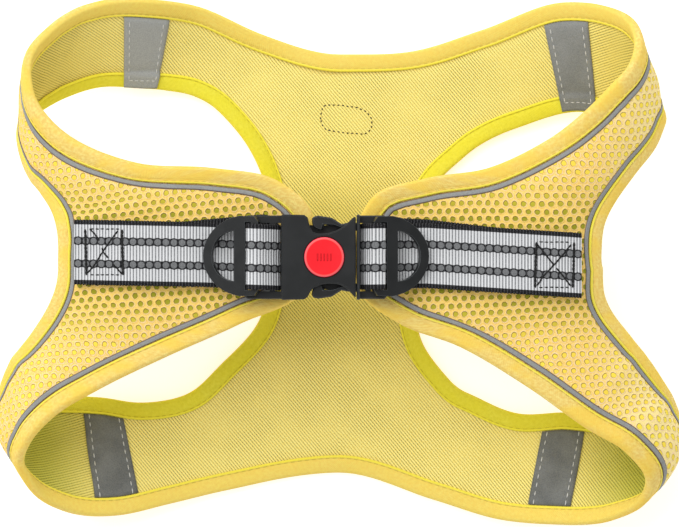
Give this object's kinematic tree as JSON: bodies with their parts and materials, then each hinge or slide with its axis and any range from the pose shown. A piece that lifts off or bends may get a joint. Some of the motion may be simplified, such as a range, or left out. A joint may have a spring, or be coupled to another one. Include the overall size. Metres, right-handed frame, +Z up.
{
  "type": "dog vest harness",
  "caption": "Step-in mesh harness vest for a medium dog, buckled and laid on its chest, with bound edges, grey piping, ribbed webbing, plastic D rings and a side release buckle.",
  "frame": {"origin": "on the ground under the middle of the harness", "axes": "+Y from the rear opening to the neck opening, +X to the wearer's right, +Z up from the chest panel to the buckle on the back"},
  "size_m": [0.2716, 0.2082, 0.0732],
  "materials": {
    "mesh": "yellow air mesh",
    "lining": "ribbed yellow lining",
    "tape": "yellow binding tape",
    "piping": "grey reflective strip",
    "patch": "dark grey tape with white stitching",
    "webbing": "white and black ribbed webbing",
    "plastic": "black moulded plastic",
    "red": "red moulded plastic"
  },
  "bodies": {
    "root": {"wing_left": "mesh", "wing_right": "mesh", "lining_left": "lining", "lining_right": "lining", "chest_panel": "mesh", "lining_chest": "lining", "binding_outer": "tape", "binding_leg_left": "tape", "binding_leg_right": "tape", "piping_edge_left": "piping", "piping_edge_right": "piping", "piping_leg_left": "piping", "piping_leg_right": "piping", "patch_front_left": "patch", "patch_front_right": "patch", "patch_rear_left": "patch", "patch_rear_right": "patch", "strap_left": "webbing", "strap_right": "webbing", "d_ring_left": "plastic", "d_ring_right": "plastic", "buckle_socket": "plastic", "buckle_plug": "plastic", "lock_button": "red"}
  },
  "joints": []
}
